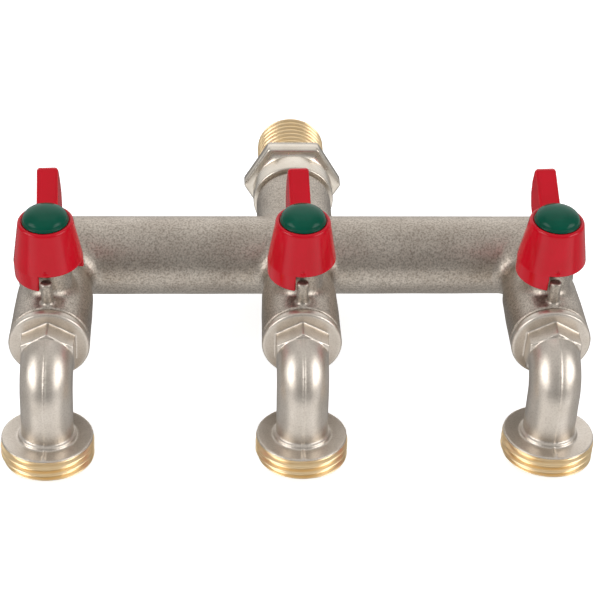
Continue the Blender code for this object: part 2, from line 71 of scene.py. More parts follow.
def frame_box(node, origin=(0.0, 0.0, 0.0)):
    """Lowest and highest corner of a CAD node in millimetres, seen from origin."""
    low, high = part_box(node)
    return np.array(low) / MM - origin, np.array(high) / MM - origin


def middle_of(node):
    low, high = frame_box(node)
    return (low + high) / 2


HEADER_AXIS = np.array((0.0, middle_of("left_end_plug")[1], 0.0))
STEMS = {j["name"].split("_")[0]: np.array(j["pos_m"]) / MM for j in frame["joints"]}
PITCH = STEMS["right"][0]
STEM_DEPTH = STEMS["middle"][1] - HEADER_AXIS[1]

# Manifold casting
body_low, body_high = frame_box("manifold_body", HEADER_AXIS)
HEADER_END = body_high[0]
HEADER_R = -body_low[2]
HEADER_BORE_R = 9.2
PLUG_SEAT_R = 10.2
PLUG_SEAT_DEPTH = 8.0
PLUG_KEY_AF = 8.0
PLUG_KEY_DEPTH = 4.0
NECK_R = 12.0
NECK_END = body_high[1]
NECK_BORE_R = 7.0
NECK_THREAD_R = 9.2
NECK_THREAD_DEPTH = 10.5
BARREL_FRONT = body_low[1]
BARREL_DEPTHS = (-39.9, -30.0, -21.0, -17.0, -12.5, -4.0)
BARREL_RADII = (11.6, 11.5, 11.2, 10.5, 9.5, 9.2)
CHAMBER_R = 8.6
CHAMBER_BACK = -20.3
PORT_R = 5.0
TOWER_R = 6.4
TOWER_TOP = body_high[2]
CAST_WAVE = 0.05  # how far the cast skin rolls in and out
STEM_BORE_R = 3.45
STEM_POCKET_R = 4.7
STEM_POCKET_TOP = 11.0
PIN_R = 1.7
PIN_DEPTH = -37.6
PIN_TOP = 18.5
PIN_ROOT = 6.0

# Outlet elbow
TAIL_R = 8.3
TAIL_END = -35.9
COLLAR_BACK = BARREL_FRONT - GAP
COLLAR_R = 11.65
COLLAR_END = -43.6
ELBOW_HEX_AF = 15.1
ELBOW_HEX_END = -49.1
ELBOW_R = 7.5
BEND_R = 9.6
BASE_R = 8.3
OUTLET_DEPTH = -57.3
OUTLET_HEIGHT = -21.8
OUTLET_LEAN = math.radians(7.0)
ELBOW_SWING = {"left": math.radians(2.0), "middle": 0.0, "right": math.radians(1.0)}
DISC_R = 13.2
DISC_EDGE = 0.6  # thickness of the plated disc above the bare thread
PARTING_HALF = 0.2  # half width and height of the forging's parting line
SEAM_HALF = 0.3
SEAM_HEIGHT = 0.28
OUTLET_THREAD_R = 13.45
OUTLET_LENGTH = 7.2
OUTLET_SOCKET_R = 9.4
OUTLET_SOCKET_TOP = 2.4
THREAD_PITCH = 2.209
THREAD_DEPTH = 1.2
THREAD_STEPS = 14  # stations to one pitch
CREST_FLAT = 0.12  # shares of half a pitch that the crest's flat and the flank take
FLANK = 0.72
OUTLET_CREST = 1.43 + THREAD_PITCH / 4  # where a thread ridge crosses the outlet's right side

# Inlet nipple
nipple_low, nipple_high = frame_box("inlet_nipple", HEADER_AXIS)
INLET_START = nipple_low[1]
INLET_MOUTH = nipple_high[1]
INLET_TAIL_R = 8.9
INLET_COLLAR_R = 13.0
INLET_COLLAR_START = 29.3
INLET_COLLAR_END = 36.3
INLET_GROOVE_R = 11.8
INLET_HEX_START = 38.3
INLET_HEX_END = 43.3
INLET_HEX_AF = 27.8
INLET_THREAD_R = 11.1
INLET_BORE_R = 7.3
INLET_CREST = INLET_HEX_END + 2.4

# Handle, seen from the stem's axis
handle_low, handle_high = frame_box("middle_handle", STEMS["middle"])
RIM_TOP = 33.6
RIM_R = 7.8
RECESS_R = 6.3
WEB_TOP = 29.6
WEB_BOTTOM = 23.6
SKIRT_R = 10.0
SKIRT_INNER_R = 8.05
LONG_SKIRT_BOTTOM = handle_low[2]
SHORT_SKIRT_BOTTOM = 20.3
STOP_CLEARANCE = 2.05
SOCKET_HALF = 2.42
DIMPLE_R = 0.55
DIMPLE_RISE = 1.6  # the dimple's height above the short skirt's edge
LEVER_TOP = handle_high[2]
LEVER_TURN = math.radians(2.3)
LEVER_TOP_HALF = 2.97
LEVER_DRAFT = 0.081
LEVER_SLOPE = 0.57
LEVER_OUTLINE = (
    (5.0, 30.4), (8.4, 32.4), (18.8, LEVER_TOP), (19.9, 38.0), (20.6, 37.0),
    (20.6, 33.6), (19.4, 29.9), (16.8, 26.7), (13.2, 24.6), (9.5, 23.9), (5.0, 23.9),
)
cap_low, cap_high = frame_box("middle_handle_cap", STEMS["middle"])
CAP_HEAD_R = 6.6
CAP_HEAD_BOTTOM = 33.35
CAP_HEAD_EDGE = CAP_HEAD_BOTTOM + 0.35
CAP_WALL = 0.9
CAP_FLOOR = 1.7  # thickness of the cap above its ring
CAP_POWER = 2.4

# Voxel sizes of the shapes made from distances, and segments round the turned ones
BODY_STEP = 0.55
ELBOW_STEP = 0.38
HANDLE_STEP = 0.3
SEGMENTS = 144
AROUND = np.arange(SEGMENTS) * 2 * math.pi / SEGMENTS

# ---------------------------------------------------------------- camera

CAMERA_AT = HEADER_AXIS + np.array((-21.98, -388.67, 292.75))
CAMERA_AZIMUTH = math.radians(-3.47)
CAMERA_ELEVATION = math.radians(38.59)
CAMERA_ROLL = math.radians(2.06)
CAMERA_LENS = 93.6
SENSOR = 36.0


def add_camera():
    flat = math.cos(CAMERA_ELEVATION)
    back = Vector((
        math.sin(CAMERA_AZIMUTH) * flat, -math.cos(CAMERA_AZIMUTH) * flat, math.sin(CAMERA_ELEVATION),
    ))
    right = Vector((0, 0, 1)).cross(back).normalized()
    up = back.cross(right)
    turned = Matrix((right, up, back)).transposed() @ Matrix.Rotation(CAMERA_ROLL, 3, "Z")
    data = bpy.data.cameras.new("camera")
    data.lens = CAMERA_LENS
    data.sensor_width = SENSOR
    data.clip_start = 0.01
    camera = bpy.data.objects.new("camera", data)
    bpy.context.scene.collection.objects.link(camera)
    camera.matrix_world = Matrix.Translation(Vector(CAMERA_AT * MM)) @ turned.to_4x4()
    bpy.context.scene.camera = camera


# ---------------------------------------------------------------- light and floor

FLOOR_HALF = 30.0  # metres


def area_light(name, at, aim, size, power):
    """Soft rectangular light at a point in metres, turned to face another."""
    data = bpy.data.lights.new(name, "AREA")
    data.shape = "RECTANGLE"
    data.size, data.size_y = size
    data.energy = power
    lamp = bpy.data.objects.new(name, data)
    bpy.context.scene.collection.objects.link(lamp)
    lamp.location = at
    lamp.rotation_euler = (Vector(aim) - Vector(at)).to_track_quat("-Z", "Y").to_euler()


class Surroundings:
    """World light as a sum of soft-edged regions of directions."""

    def __init__(self):
        world = bpy.data.worlds.new("studio")
        world.use_nodes = True
        bpy.context.scene.world = world
        self.tree = world.node_tree
        place = self.tree.nodes.new("ShaderNodeTexCoord")
        split = self.tree.nodes.new("ShaderNodeSeparateXYZ")
        self.tree.links.new(place.outputs["Generated"], split.inputs[0])
        self.axes = dict(zip("xyz", split.outputs))
        self.axes["|x|"] = self.math("ABSOLUTE", self.axes["x"])
        self.total = None

    def math(self, operation, *values):
        made = self.tree.nodes.new("ShaderNodeMath")
        made.operation = operation
        for socket, value in zip(made.inputs, values):
            if isinstance(value, (int, float)):
                socket.default_value = value
            else:
                self.tree.links.new(value, socket)
        return made.outputs[0]

    def add(self, brightness, *limits):
        """Light from one region: a limit (axis, start, full) lets in none at start and all at full."""
        light = None
        for axis, start, full_at in limits:
            ramp = self.tree.nodes.new("ShaderNodeMapRange")
            ramp.interpolation_type = "SMOOTHSTEP"
            ramp.inputs["From Min"].default_value = start
            ramp.inputs["From Max"].default_value = full_at
            self.tree.links.new(self.axes[axis], ramp.inputs["Value"])
            light = ramp.outputs[0] if light is None else self.math("MULTIPLY", light, ramp.outputs[0])
        light = self.math("MULTIPLY", light, brightness)
        self.total = light if self.total is None else self.math("ADD", self.total, light)

    def finish(self, base):
        """Add a base light from everywhere and hand the sum to the world."""
        glow = self.math("ADD", self.total, base)
        background = self.tree.nodes["Background"]
        background.inputs["Color"].default_value = (1, 1, 1, 1)
        self.tree.links.new(glow, background.inputs["Strength"])


def add_studio():
    """Soft light: pale walls and ceiling, two softboxes, a dim front, and a pale floor."""
    around = Surroundings()
    around.add(0.25, ("z", -0.05, 0.30))  # everything above the horizon
    around.add(0.30, ("|x|", 0.40, 0.75), ("z", 0.05, -0.15))  # low down at both sides
    around.add(0.25, ("z", 0.60, 0.95))  # ceiling
    around.add(0.80, ("y", 0.40, 0.90), ("z", -0.4, 0.0))  # back wall
    # softbox at each side
    around.add(3.40, ("|x|", 0.60, 0.74), ("z", 0.06, 0.22), ("z", 0.82, 0.66), ("y", 0.05, -0.20))
    around.add(0.85, ("z", -0.06, -0.28), ("z", -1.05, -0.60), ("y", -0.30, -0.55))  # table in front
    around.add(0.30, ("z", -0.50, -0.90))  # table underneath
    around.finish(0.17)
    area_light("top_box", (0.0, 0.6, 1.6), (0, -0.09, 0), (1.2, 0.7), 0.8)

    floor_height = cad_bounds[0][2]
    square = ((-1, -1), (1, -1), (1, 1), (-1, 1))
    corners = [(x * FLOOR_HALF, y * FLOOR_HALF, floor_height) for x, y in square]
    mesh = bpy.data.meshes.new("floor")
    mesh.from_pydata(corners, [], [(0, 1, 2, 3)])
    floor = bpy.data.objects.new("floor", mesh)
    bpy.context.scene.collection.objects.link(floor)
    floor.visible_glossy = False
    floor.visible_diffuse = False
    floor.visible_shadow = False
    paper = bpy.data.materials.new("white_floor")
    paper.use_nodes = True
    surface = paper.node_tree.nodes["Principled BSDF"]
    surface.inputs["Base Color"].default_value = (0.9, 0.9, 0.9, 1)
    surface.inputs["Roughness"].default_value = 0.9
    surface.inputs["Specular IOR Level"].default_value = 0.1
    surface.inputs["Emission Color"].default_value = (1, 1, 1, 1)
    surface.inputs["Emission Strength"].default_value = 0.6
    mesh.materials.append(paper)
    bpy.context.scene.view_settings.view_transform = "Standard"


# ---------------------------------------------------------------- materials


class Finish:
    """A node material that is built up in steps: colour, roughness and bump."""

    def __init__(self, name, colour, roughness, metallic=0.0):
        self.material = bpy.data.materials.new(name)
        self.material.use_nodes = True
        self.tree = self.material.node_tree
        self.surface = self.tree.nodes["Principled BSDF"]
        self.set("Base Color", (*colour, 1.0))
        self.set("Roughness", roughness)
        self.set("Metallic", metallic)
        self.place = self.tree.nodes.new("ShaderNodeTexCoord").outputs["Object"]

    def set(self, socket, value):
        self.surface.inputs[socket].default_value = value
        return self

    def node(self, kind, **values):
        made = self.tree.nodes.new(kind)
        for key, value in values.items():
            if hasattr(made, key):
                setattr(made, key, value)
            else:
                made.inputs[key.title()].default_value = value
        return made

    def noise(self, grain_mm, detail=2.0, stretch=(1, 1, 1)):
        """Noise whose features are about grain_mm across, drawn out along an axis by stretch."""
        fitted = self.node("ShaderNodeMapping")
        fitted.inputs["Scale"].default_value = [1 / (grain_mm * MM * s) for s in stretch]
        self.tree.links.new(self.place, fitted.inputs["Vector"])
        made = self.node("ShaderNodeTexNoise", scale=1.0, detail=detail)
        self.tree.links.new(fitted.outputs[0], made.inputs["Vector"])
        return made.outputs["Fac"]

    def ramp(self, value, stops):
        """Colours at positions along value, which runs from 0 to 1."""
        made = self.node("ShaderNodeValToRGB")
        elements = made.color_ramp.elements
        while len(elements) < len(stops):
            elements.new(0.5)
        for element, (position, colour) in zip(elements, stops):
            element.position = position
            element.color = (*colour, 1.0)
        self.tree.links.new(value, made.inputs["Fac"])
        return made.outputs["Color"]

    def colour(self, value, stops):
        self.tree.links.new(self.ramp(value, stops), self.surface.inputs["Base Color"])

    def tint(self, value, stops):
        """Multiply the ramp that the base colour has by now with another."""
        base = self.surface.inputs["Base Color"]
        mix = self.node("ShaderNodeMix", data_type="RGBA", blend_type="MULTIPLY", factor=1.0)
        self.tree.links.new(base.links[0].from_socket, mix.inputs["A"])
        self.tree.links.new(self.ramp(value, stops), mix.inputs["B"])
        self.tree.links.new(mix.outputs["Result"], base)

    def roughness(self, value, low, high):
        made = self.node("ShaderNodeMapRange")
        made.inputs["To Min"].default_value = low
        made.inputs["To Max"].default_value = high
        self.tree.links.new(value, made.inputs["Value"])
        self.tree.links.new(made.outputs[0], self.surface.inputs["Roughness"])
        return self

    def bump(self, value, height_mm):
        """Raise the surface by up to height_mm where value is high, on top of any bump so far."""
        made = self.node("ShaderNodeBump", strength=1.0)
        made.inputs["Distance"].default_value = height_mm * MM
        normal = self.surface.inputs["Normal"]
        if normal.is_linked:
            self.tree.links.new(normal.links[0].from_socket, made.inputs["Normal"])
        self.tree.links.new(value, made.inputs["Height"])
        self.tree.links.new(made.outputs[0], normal)
        return self


def make_finishes():
    cast = Finish("cast_nickel_plate", (0.60, 0.545, 0.48), 0.42, 1.0)
    cast.colour(cast.noise(9.0, 3.0), ((0.3, (0.56, 0.50, 0.435)), (0.7, (0.64, 0.585, 0.515))))
    cast.tint(cast.noise(0.55, 3.0), ((0.34, (0.57, 0.55, 0.53)), (0.60, (0.98, 0.97, 0.96))))
    cast.tint(cast.noise(14.0, 2.0), ((0.35, (0.90, 0.89, 0.88)), (0.65, (1.0, 1.0, 1.0))))
    cast.roughness(cast.noise(2.5, 3.0), 0.36, 0.5)
    cast.bump(cast.noise(3.2, 2.0), 0.10).bump(cast.noise(0.8, 2.0), 0.05)

    forged = Finish("forged_nickel_plate", (0.68, 0.615, 0.54), 0.34, 1.0)
    forged.colour(forged.noise(6.0, 3.0), ((0.3, (0.64, 0.575, 0.50)), (0.7, (0.72, 0.655, 0.58))))
    forged.tint(forged.noise(0.5, 2.0), ((0.34, (0.89, 0.88, 0.87)), (0.55, (1.0, 1.0, 1.0))))
    forged.roughness(forged.noise(1.6, 3.0), 0.31, 0.42)
    forged.bump(forged.noise(2.2, 2.0), 0.03).bump(forged.noise(0.6, 2.0), 0.015)

    turned = Finish("turned_nickel_plate", (0.72, 0.66, 0.57), 0.28, 1.0)
    turned.colour(turned.noise(5.0, 2.0), ((0.3, (0.70, 0.63, 0.54)), (0.7, (0.76, 0.70, 0.61))))
    turned.roughness(turned.noise(0.35, 1.0, (6, 1, 6)), 0.22, 0.36)
    turned.bump(turned.noise(0.3, 1.0, (30, 1, 30)), 0.006)

    brass = Finish("bare_brass", (0.95, 0.72, 0.42), 0.3, 1.0)
    brass.colour(brass.noise(6.0, 2.0), ((0.3, (0.93, 0.69, 0.38)), (0.7, (0.97, 0.75, 0.46))))
    brass.roughness(brass.noise(3.0, 1.0), 0.27, 0.33)

    enamel = Finish("red_enamel", (0.58, 0.0003, 0.012), 0.08)
    enamel.colour(enamel.noise(7.0, 2.0), ((0.3, (0.55, 0.0002, 0.010)), (0.7, (0.61, 0.0004, 0.014))))
    enamel.roughness(enamel.noise(3.0, 2.0), 0.06, 0.10)
    enamel.bump(enamel.noise(4.5, 1.0), 0.015).set("Specular IOR Level", 0.3)

    plastic = Finish("green_plastic", (0.0008, 0.080, 0.047), 0.15)
    plastic.colour(plastic.noise(6.0, 2.0), ((0.3, (0.0005, 0.073, 0.042)), (0.7, (0.001, 0.087, 0.052))))
    plastic.roughness(plastic.noise(1.0, 2.0), 0.11, 0.17)
    plastic.bump(plastic.noise(4.0, 1.0), 0.01).set("Specular IOR Level", 0.16)

    chrome = Finish("chromed_ball", (0.80, 0.80, 0.81), 0.06, 1.0)
    chrome.roughness(chrome.noise(1.5, 2.0), 0.04, 0.1)
    ptfe = Finish("white_ptfe", (0.86, 0.86, 0.84), 0.5)
    ptfe.roughness(ptfe.noise(1.0, 2.0), 0.45, 0.6)
    rubber = Finish("black_rubber", (0.02, 0.02, 0.02), 0.7)
    rubber.roughness(rubber.noise(0.6, 2.0), 0.6, 0.8).bump(rubber.noise(0.4, 2.0), 0.01)
    steel = Finish("zinc_plated_steel", (0.62, 0.63, 0.66), 0.3, 1.0)
    steel.roughness(steel.noise(0.8, 2.0), 0.25, 0.4)
    return {
        "cast": cast, "forged": forged, "turned": turned, "thread_brass": brass, "red_enamel": enamel,
        "green_plastic": plastic, "chrome": chrome, "ptfe": ptfe, "rubber": rubber, "steel": steel,
    }


# ---------------------------------------------------------------- meshes


def add_piece(name, mesh_parts, finish, origin=HEADER_AXIS):
    """Smooth-shaded object of points in millimetres from origin, and quads."""
    points, quads = mesh_parts
    mesh = bpy.data.meshes.new(name)
    mesh.from_pydata(((points + origin) * MM).tolist(), [], quads.tolist())
    mesh.shade_smooth()
    mesh.materials.append(finish.material)
    mesh.validate()
    face_outwards(mesh)
    obj = bpy.data.objects.new(name, mesh)
    bpy.context.scene.collection.objects.link(obj)
    return obj


def face_outwards(mesh):
    """Turn every quad of a closed piece round if they face inwards."""
    points = np.empty(len(mesh.vertices) * 3)
    mesh.vertices.foreach_get("co", points)
    corners = np.empty(len(mesh.loops), int)
    mesh.loops.foreach_get("vertex_index", corners)
    a, b, c, d = (points.reshape(-1, 3)[corners[i::4]] for i in range(4))
    if (a * np.cross(b, c)).sum() + (a * np.cross(c, d)).sum() < 0:
        mesh.flip_normals()


def loops_to_mesh(loops):
    """Closed tube-like mesh: every loop joins the next, and the last joins the first."""
    count, segments = loops.shape[:2]
    index = np.arange(count * segments).reshape(count, segments)
    ahead = np.roll(index, -1, axis=0)
    quads = np.stack((index, np.roll(index, -1, 1), np.roll(ahead, -1, 1), ahead), -1)
    return loops.reshape(-1, 3), quads.reshape(-1, 4)


def surface_of(distance, low, high, step):
    """Quads on distance(x, y, z) = 0 by surface nets, with the vertices then pulled onto it."""
    axes = [np.arange(a - 1.5 * step, b + 2.5 * step, step) for a, b in zip(low, high)]
    field = distance(*np.meshgrid(*axes, indexing="ij", sparse=True))
    inside = field < 0
    shape = np.array(field.shape) - 1
    corners = [np.array((i, j, k)) for i in (0, 1) for j in (0, 1) for k in (0, 1)]
    views = (inside[i:i + shape[0], j:j + shape[1], k:k + shape[2]] for i, j, k in corners)
    held = sum(view.astype(np.int8) for view in views)
    cells = np.argwhere((held > 0) & (held < 8))
    index = np.full(shape, -1)
    index[tuple(cells.T)] = np.arange(len(cells))
    total, hits = np.zeros((len(cells), 3)), np.zeros(len(cells))
    for a in corners:
        for axis in range(3):
            if a[axis]:
                continue
            b = a + np.eye(3, dtype=int)[axis]
            near, far = field[tuple((cells + a).T)], field[tuple((cells + b).T)]
            crossed = (near < 0) != (far < 0)
            share = np.where(crossed, near / np.where(crossed, near - far, 1), 0)
            total += np.where(crossed[:, None], a + share[:, None] * (b - a), 0)
            hits += crossed
    points = np.array([a[0] for a in axes]) + step * (cells + total / hits[:, None])
    quads = []
    for axis in range(3):
        u, v = (axis + 1) % 3, (axis + 2) % 3
        low_side = np.take(inside, range(shape[axis]), axis)
        high_side = np.take(inside, range(1, shape[axis] + 1), axis)
        edges = np.argwhere(low_side != high_side)
        along_u, along_v = edges[:, u], edges[:, v]
        edges = edges[(along_u > 0) & (along_v > 0) & (along_u < shape[u]) & (along_v < shape[v])]
        outward = low_side[tuple(edges.T)]
        ring = []
        for du, dv in ((-1, -1), (0, -1), (0, 0), (-1, 0)):
            cell = edges.copy()
            cell[:, u] += du
            cell[:, v] += dv
            ring.append(index[tuple(cell.T)])
        ring = np.stack(ring, -1)
        quads.append(np.where(outward[:, None], ring, ring[:, ::-1]))
    reach = 0.1 * step
    for _ in range(3):
        value = distance(*points.T)
        slope = np.stack([
            (distance(*(points + step_out).T) - distance(*(points - step_out).T)) / (2 * reach)
            for step_out in reach * np.eye(3)
        ], -1)
        move = value[:, None] * slope / np.maximum((slope ** 2).sum(-1, keepdims=True), 0.2)
        points = points - np.clip(move, -step, step)
    return points, np.concatenate(quads)


# Distances to shapes: negative inside, in millimetres


def fused(a, b, fillet):
    """Union with a round fillet where the two surfaces meet."""
    near_both = np.hypot(np.maximum(fillet - a, 0), np.maximum(fillet - b, 0))
    return np.maximum(fillet, np.minimum(a, b)) - near_both


def within(a, b, edge):
    """Intersection with a rounded edge."""
    return -fused(-a, -b, edge)


def cut(a, b, edge):
    return within(a, -b, edge)


def rod(across, along, low, high, radius, edge):
    """Cylinder from how far a point is from its axis and how far it is along it."""
    return within(across - radius, np.abs(along - (low + high) / 2) - (high - low) / 2, edge)


def outline_distance(outline, u, v):
    """Distance to a closed 2-D outline, negative inside."""
    best, inside = np.inf, False
    for (au, av), (bu, bv) in zip(outline, outline[1:] + outline[:1]):
        du, dv = bu - au, bv - av
        share = np.clip(((u - au) * du + (v - av) * dv) / (du * du + dv * dv), 0, 1)
        best = np.minimum(best, np.hypot(u - au - share * du, v - av - share * dv))
        straddles = (av > v) != (bv > v)
        crossing = au + du * (v - av) / (dv if dv else 1e-9)
        inside = inside ^ (straddles & (u < crossing))
    return np.where(inside, -best, best)


# ---------------------------------------------------------------- manifold casting


def manifold(x, y, z):
    """Header, neck, barrels, towers and stop pins with the fillets of a sand casting."""
    off_header = np.hypot(y, z)
    off_neck = np.hypot(x, z)
    tap = x - PITCH * np.round(x / PITCH)
    off_barrel = np.hypot(tap, z)
    off_stem = np.hypot(tap, y - STEM_DEPTH)

    solid = rod(off_header, x, -HEADER_END, HEADER_END, HEADER_R, 0.7)
    solid = fused(solid, rod(off_neck, y, 0, NECK_END, NECK_R, 0.5), 2.5)
    flare = off_barrel - np.interp(y, BARREL_DEPTHS, BARREL_RADII)
    barrel = within(flare, np.maximum(BARREL_FRONT - y, y), 0.8)
    barrel = fused(barrel, rod(off_stem, z, 0, TOWER_TOP, TOWER_R, 0.5), 2.0)
    off_pin = np.hypot(tap, y - PIN_DEPTH)
    barrel = fused(barrel, rod(off_pin, z, PIN_ROOT, PIN_TOP, PIN_R, 0.35), 0.9)
    solid = fused(solid, barrel, 4.5)
    wave = np.sin(x / 4.1 + 0.7 * np.sin(y / 3.3)) * np.sin(y / 3.7 + 1.3) * np.cos(z / 3.9)
    solid = solid + CAST_WAVE * wave

    seat = HEADER_END - PLUG_SEAT_DEPTH
    bores = np.minimum(off_header - HEADER_BORE_R, np.maximum(off_header - PLUG_SEAT_R, seat - np.abs(x)))
    neck = np.maximum(off_neck - NECK_BORE_R, -y)
    neck = np.minimum(neck, np.maximum(off_neck - NECK_THREAD_R, NECK_END - NECK_THREAD_DEPTH - y))
    port = np.maximum(off_barrel - PORT_R, y)
    chamber = np.maximum(off_barrel - CHAMBER_R, y - CHAMBER_BACK)
    stem = np.maximum(off_stem - STEM_BORE_R, -z)
    pocket = np.maximum(off_stem - STEM_POCKET_R, np.maximum(z - STEM_POCKET_TOP, -z))
    for hollow in (neck, port, chamber, stem, pocket):
        bores = np.minimum(bores, hollow)
    return cut(solid, bores, 0.25)


# ---------------------------------------------------------------- handle


def handle(x, y, z):
    """Conical hub with a stepped skirt and a lever, all edges rounded by the enamel."""
    off_stem = np.hypot(x, y)
    taper = math.cos(math.atan((SKIRT_R - RIM_R) / (RIM_TOP - SHORT_SKIRT_BOTTOM)))
    cone = (off_stem - np.interp(z, (SHORT_SKIRT_BOTTOM, RIM_TOP), (SKIRT_R, RIM_R))) * taper
    hub = within(within(cone, z - RIM_TOP, 0.7), LONG_SKIRT_BOTTOM - z, 0.5)
    reach = y * math.cos(LEVER_TURN) - x * math.sin(LEVER_TURN)
    aside = x * math.cos(LEVER_TURN) + y * math.sin(LEVER_TURN)
    start, start_height = LEVER_OUTLINE[1]
    below = np.maximum(start_height + LEVER_SLOPE * (reach - start) - z, 0)
    flank = np.abs(aside) - LEVER_TOP_HALF - LEVER_DRAFT * below
    lever = within(outline_distance(LEVER_OUTLINE, reach, z), flank, 0.9)
    solid = fused(hub, lever, 1.2)
    cavity = within(off_stem - SKIRT_INNER_R, z - WEB_BOTTOM, 1.0)
    notch = np.maximum(np.maximum(-STOP_CLEARANCE - x, y - STOP_CLEARANCE), z - SHORT_SKIRT_BOTTOM)
    solid = cut(cut(solid, cavity, 0.5), notch, 0.5)
    recess = np.maximum(off_stem - RECESS_R, WEB_TOP - z)
    recess = np.minimum(recess, np.maximum(off_stem - CAP_HEAD_R - 0.05, CAP_HEAD_BOTTOM - z))
    socket = np.maximum(np.abs(x) - SOCKET_HALF, np.abs(y) - SOCKET_HALF)
    dimple_height = SHORT_SKIRT_BOTTOM + DIMPLE_RISE
    off_dimple = np.sqrt(x ** 2 + (y + SKIRT_R - 0.1) ** 2 + (z - dimple_height) ** 2)
    dimple = off_dimple - DIMPLE_R
    return cut(cut(cut(solid, recess, 0.5), socket, 0.2), dimple, 0.2)


# ---------------------------------------------------------------- rings, threads and turned pieces


def hexagon(across_flats, chamfer):
    """Radius at each angle of a hexagon whose corners a lathe has taken back."""
    off_corner = (AROUND + math.pi / 6) % (math.pi / 3) - math.pi / 6
    flat = across_flats / 2 / np.cos(math.pi / 6 - np.abs(off_corner))
    return np.minimum(flat, across_flats / math.sqrt(3) * chamfer)


def rounded(start, corner, end, steps=4):
    """Points along a small round that replaces the corner between start and end."""
    start, corner, end = (np.array(p, float) for p in (start, corner, end))
    share = np.linspace(0, 1, steps + 1)[:, None]
    points = (1 - share) ** 2 * start + 2 * share * (1 - share) * corner + share ** 2 * end
    return [tuple(p) for p in points]


def thread(radius, first, last, crest_at):
    """Stations of a helical thread: (position, radius at each angle)."""
    stations = []
    for position in np.arange(first, last, THREAD_PITCH / THREAD_STEPS):
        phase = ((position - crest_at) / THREAD_PITCH - AROUND / (2 * math.pi)) % 1.0
        off_crest = np.minimum(phase, 1 - phase) * 2
        shape = np.clip((off_crest - CREST_FLAT) / FLANK, 0, 1)
        height = radius - THREAD_DEPTH * (0.75 * shape + 0.25 * shape ** 2 * (3 - 2 * shape))
        lead_in = radius - THREAD_DEPTH * (0.85 - min((last - position) / 0.6, 0.85))
        run_out = radius - THREAD_DEPTH + min((position - first) / 0.5, 1.0) * THREAD_DEPTH
        stations.append((position, np.minimum(height, min(lead_in, run_out))))
    return stations


def full(radius):
    """Radius at every angle, from one number or from as many as there are angles."""
    return np.full(SEGMENTS, float(radius)) if np.isscalar(radius) else radius


def rings(stations, centre, along, side, up):
    """Loops round an axis, from (position along it, radius) stations, with side and up across it."""
    centre, along, side, up = (np.array(v, float) for v in (centre, along, side, up))
    spokes = np.cos(AROUND)[:, None] * side + np.sin(AROUND)[:, None] * up
    loops = [centre + position * along + full(radius)[:, None] * spokes for position, radius in stations]
    return np.array(loops)


def bend_start():
    """Depth at which the elbow's straight tail turns into its bend."""
    drop = -OUTLET_HEIGHT - BEND_R * (1 - math.sin(OUTLET_LEAN))
    return OUTLET_DEPTH + BEND_R * math.cos(OUTLET_LEAN) + drop * math.tan(OUTLET_LEAN)


def outlet_frame(x, y, z):
    """Distance from the outlet's axis, distance below the disc's top along it, distance to the front."""
    dy, dz = y - OUTLET_DEPTH, z - OUTLET_HEIGHT
    down = -dy * math.sin(OUTLET_LEAN) - dz * math.cos(OUTLET_LEAN)
    forward = -dy * math.cos(OUTLET_LEAN) + dz * math.sin(OUTLET_LEAN)
    return np.hypot(x, forward), down, forward


def elbow_line(x, y, z):
    """Distance to the elbow's centre line: straight, round the bend, straight again."""
    start = bend_start()
    off_outlet = outlet_frame(x, y, z)[0]
    turn = np.arctan2(start - y, z + BEND_R)
    off_bend = np.hypot(np.hypot(start - y, z + BEND_R) - BEND_R, x)
    quarter = math.pi / 2 - OUTLET_LEAN
    return np.where(y > start, np.hypot(x, z), np.where(turn < quarter, off_bend, off_outlet))


def elbow(x, y, z):
    """One forging: tail, collar, hexagon, bend and outlet disc, with its bore and parting line."""
    off_barrel = np.hypot(x, z)
    off_outlet, down, forward = outlet_frame(x, y, z)
    line = elbow_line(x, y, z)
    tail = rod(off_barrel, y, COLLAR_BACK - 2, TAIL_END, TAIL_R, 0.3)
    collar = rod(off_barrel, y, COLLAR_END, COLLAR_BACK, COLLAR_R, 0.75)
    off_centre = 0
    for angle in (30, 90, 150):
        turn = math.radians(angle)
        off_centre = np.maximum(off_centre, np.abs(x * math.sin(turn) - z * math.cos(turn)))
    spanner = rod(off_centre, y, ELBOW_HEX_END, COLLAR_END, ELBOW_HEX_AF / 2, 0.3)
    tube = within(within(line - ELBOW_R, y - COLLAR_END - 1, 0.1), down - 1.5, 0.1)
    parting = np.maximum(line - ELBOW_R - PARTING_HALF, np.abs(x) - PARTING_HALF)
    parting = np.maximum(parting, np.maximum(y - ELBOW_HEX_END, down - 0.5))
    solid = fused(fused(tail, collar, 0.1), spanner, 0.4)
    solid = fused(solid, tube, 0.25)
    base = rod(off_outlet, down, -1.0, 1.0, BASE_R, 0.4)
    disc = rod(off_outlet, down, 0.0, DISC_EDGE, DISC_R, 0.25)
    core = rod(off_outlet, down, 0.1, OUTLET_LENGTH - 0.5, OUTLET_THREAD_R - THREAD_DEPTH - 0.2, 0.1)
    outlet = fused(np.minimum(disc, core), base, 0.5)
    seam = np.maximum(np.maximum(np.abs(x) - SEAM_HALF, -down - SEAM_HEIGHT), down - 0.4)
    seam = np.maximum(seam, np.maximum(off_outlet - DISC_R + 0.5, -forward))
    solid = fused(solid, outlet, 0.6)
    solid = fused(solid, np.minimum(parting, seam), 0.25)
    bore = np.maximum(line - PORT_R, down - OUTLET_SOCKET_TOP - 1)
    socket = np.maximum(off_outlet - OUTLET_SOCKET_R, OUTLET_SOCKET_TOP - down)
    return cut(solid, np.minimum(bore, socket), 0.1)


